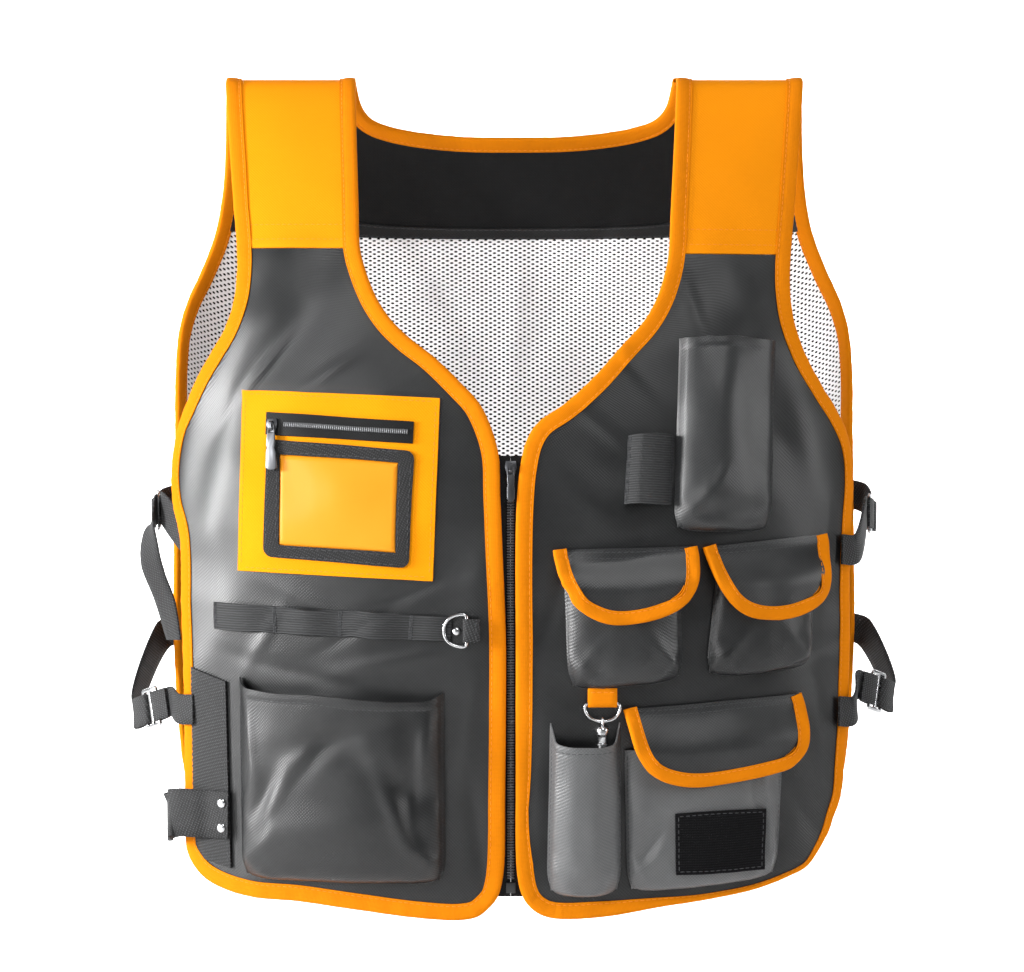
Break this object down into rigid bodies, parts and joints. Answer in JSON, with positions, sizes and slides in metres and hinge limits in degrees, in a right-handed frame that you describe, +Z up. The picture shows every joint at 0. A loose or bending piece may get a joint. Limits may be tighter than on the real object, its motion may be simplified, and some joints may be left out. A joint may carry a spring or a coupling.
{
  "type": "utility work vest",
  "caption": "Sleeveless work vest with bound edges, front zip, patch and flap pockets, loops, rings and adjustable side straps, shown worn with no wearer.",
  "frame": {"origin": "on the crest line of the shoulders, midway between the two shoulder straps", "axes": "+Z up, -Y forward out of the wearer's chest, +X to the wearer's left"},
  "size_m": [0.5468, 0.2567, 0.5921],
  "materials": {
    "dark_cloth": "dark grey coated polyester, fine diagonal weave, slight sheen",
    "grey_cloth": "mid grey coated polyester, fine diagonal weave",
    "black_cloth": "black polyester",
    "yoke_cloth": "yellow-orange polyester",
    "binding": "orange ribbed binding tape",
    "patch_cloth": "orange polyester",
    "net": "white and grey open net",
    "webbing": "dark grey woven webbing",
    "elastic": "black ribbed elastic",
    "hook_tape": "black hook tape with fine ribs",
    "clear_window": "clear soft plastic film",
    "zip_coil": "grey nylon coil",
    "zip_box": "dark plastic",
    "metal": "nickel-plated"
  },
  "bodies": {
    "vest": {"back_edge_tape": "binding", "back_neck_tape": "binding", "back_net": "net", "back_panel": "black_cloth", "back_yoke": "black_cloth", "big_flap": "grey_cloth", "big_flap_pocket": "grey_cloth", "big_flap_tape": "binding", "cargo_pocket": "dark_cloth", "chest_ring_tab": "webbing", "elastic_loop": "elastic", "hammer_loop": "webbing", "hanging_ring": "metal", "hanging_ring_tab": "binding", "hook_patch": "hook_tape", "id_patch": "patch_cloth", "id_window": "clear_window", "id_window_frame": "webbing", "id_zip_slider": "metal", "id_zip_strip": "black_cloth", "inner_flap": "grey_cloth", "inner_flap_pocket": "dark_cloth", "inner_flap_tape": "binding", "left_front_panel": "dark_cloth", "left_front_tape": "binding", "left_lower_back_strap": "webbing", "left_lower_buckle": "metal", "left_lower_front_strap": "webbing", "left_shoulder_yoke": "yoke_cloth", "left_upper_back_strap": "webbing", "left_upper_buckle": "metal", "left_upper_front_strap": "webbing", "loop_strip": "elastic", "outer_flap": "grey_cloth", "outer_flap_pocket": "dark_cloth", "outer_flap_tape": "binding", "right_front_panel": "dark_cloth", "right_front_tape": "binding", "right_lower_back_strap": "webbing", "right_lower_buckle": "metal", "right_lower_front_strap": "webbing", "right_shoulder_yoke": "yoke_cloth", "right_upper_back_strap": "webbing", "right_upper_buckle": "metal", "right_upper_front_strap": "webbing", "ring_stud": "metal", "rivet_lower": "metal", "rivet_upper": "metal", "side_webbing": "webbing", "slim_pocket": "grey_cloth", "snap_hook": "metal", "tool_pocket": "dark_cloth", "zip_box": "zip_box", "zip_slider": "metal", "zip_tape_left": "black_cloth", "zip_tape_right": "black_cloth", "zip_teeth": "zip_coil"},
    "zip_pull": {"zip_pull": "metal"},
    "id_zip_pull": {"id_zip_pull": "metal"},
    "chest_ring": {"chest_ring": "metal"}
  },
  "joints": [
    {"name": "zip_pull_hinge", "type": "hinge", "parent": "vest", "child": "zip_pull", "pos_m": [-0.00226, -0.12309, -0.27926], "axis": [-1, -0.002, 0], "range_deg": [0, 150]},
    {"name": "id_zip_pull_hinge", "type": "hinge", "parent": "vest", "child": "id_zip_pull", "pos_m": [-0.16755, -0.10206, -0.24989], "axis": [-0.9449, 0.323, -0.053], "range_deg": [0, 150]},
    {"name": "chest_ring_hinge", "type": "hinge", "parent": "vest", "child": "chest_ring", "pos_m": [-0.03245, -0.12976, -0.39037], "axis": [0, -0.019, 0.9998], "range_deg": [0, 110]}
  ]
}
